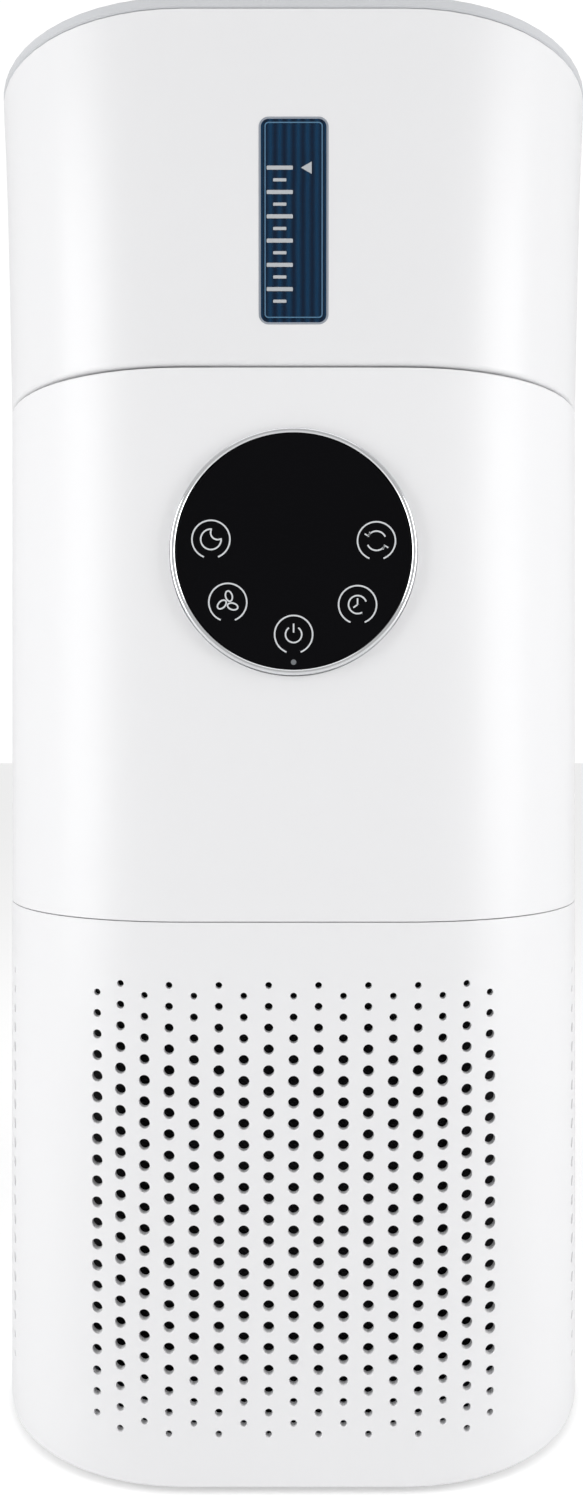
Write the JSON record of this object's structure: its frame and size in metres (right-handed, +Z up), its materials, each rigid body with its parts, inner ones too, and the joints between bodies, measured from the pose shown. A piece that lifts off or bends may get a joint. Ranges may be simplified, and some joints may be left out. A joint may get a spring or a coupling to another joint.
{
  "type": "air purifier with evaporative humidifier",
  "caption": "Tower air purifier with a lift-off water tank, level window, pleated wick, round touch display and perforated intake.",
  "frame": {"origin": "centre of the footprint on the floor, at the underside of the feet", "axes": "+Z up, the display and window face -Y"},
  "size_m": [0.2264, 0.2264, 0.4985],
  "materials": {
    "shell": "fine satin moulded grain",
    "inner_abs": "plain moulded",
    "grey_rim": "smooth satin",
    "ring_metal": "bright plated",
    "black_glass": "high gloss",
    "marks": "printed",
    "black_plastic": "fine matte",
    "window": "tinted clear",
    "gasket": "silicone",
    "rubber": "matte",
    "steel": "zinc plated",
    "dark_steel": "pressed",
    "copper": "enamelled wire",
    "pcb": "solder mask",
    "electronics": "moulded",
    "wire": "insulated",
    "filter_frame": "foam edged",
    "filter_mesh": "nylon mesh",
    "filter_media": "pleated",
    "carbon": "granular",
    "foam": "closed-cell foam",
    "wick": "pleated fibre",
    "wick_frame": "plain moulded",
    "fan_plastic": "plain moulded"
  },
  "bodies": {
    "base": {"base_plate": "inner_abs", "feet": "rubber", "base_screws": "steel", "posts": "inner_abs", "rear_shell": "shell", "fan_deck": "inner_abs", "inlet_guard": "inner_abs", "deck_screws": "steel", "mid_front": "shell", "mid_rear": "shell", "fan_housing": "inner_abs", "diffuser": "inner_abs", "outlet_duct": "inner_abs", "duct_screws": "steel", "motor_case": "steel", "stator_core": "dark_steel", "stator_windings": "copper", "bearings": "steel", "display_ring": "ring_metal", "display_glass": "black_glass", "touch_icons": "marks", "display_tray": "black_plastic", "display_board": "pcb", "light_sensor": "marks", "power_board": "pcb", "board_parts": "electronics", "power_socket": "black_plastic", "air_sensor": "inner_abs", "wiring": "wire", "top_deck": "inner_abs", "duct_guard": "inner_abs", "deck_gasket": "gasket", "level_switch": "black_plastic", "top_screws": "steel"},
    "front_cover": {"front_cover": "shell"},
    "filter": {"filter_bottom_cap": "filter_frame", "filter_top_cap": "filter_frame", "filter_mesh": "filter_mesh", "filter_media": "filter_media", "filter_carbon": "carbon", "filter_seal": "foam", "filter_tab": "filter_frame"},
    "fan": {"impeller": "fan_plastic", "impeller_nut": "copper", "motor_shaft": "steel", "rotor_magnet": "dark_steel"},
    "tank": {"tank": "shell", "window_lens": "window", "window_gasket": "gasket", "level_marks": "marks", "float_guide": "inner_abs"},
    "float": {"water_float": "wick_frame", "float_magnet": "dark_steel"},
    "wick": {"wick_base": "wick_frame", "wick_media": "wick", "wick_cap": "wick_frame"},
    "lid": {"cover_rim": "grey_rim", "outlet_grille": "shell"}
  },
  "joints": [
    {"name": "front_cover_pull", "type": "slide", "parent": "base", "child": "front_cover", "axis": [0, -1, 0], "range_m": [0, 0.35]},
    {"name": "filter_pull", "type": "slide", "parent": "base", "child": "filter", "axis": [0, -1, 0], "range_m": [0, 0.21]},
    {"name": "fan_spin", "type": "hinge", "parent": "base", "child": "fan", "pos_m": [0, 0, 0.23], "axis": [0, 0, 1], "continuous": true},
    {"name": "tank_lift", "type": "slide", "parent": "base", "child": "tank", "axis": [0, 0, 1], "range_m": [0, 0.06]},
    {"name": "float_rise", "type": "slide", "parent": "tank", "child": "float", "axis": [0, 0, 1], "range_m": [0, 0.044]},
    {"name": "lid_lift", "type": "slide", "parent": "tank", "child": "lid", "axis": [0, 0, 1], "range_m": [0, 0.24]},
    {"name": "wick_lift", "type": "slide", "parent": "tank", "child": "wick", "axis": [0, 0, 1], "range_m": [0, 0.12]}
  ],
  "couplings": [
    {"joint": "filter_pull", "follows": "front_cover_pull", "ratio": 0.6},
    {"joint": "wick_lift", "follows": "lid_lift", "ratio": 0.5}
  ]
}
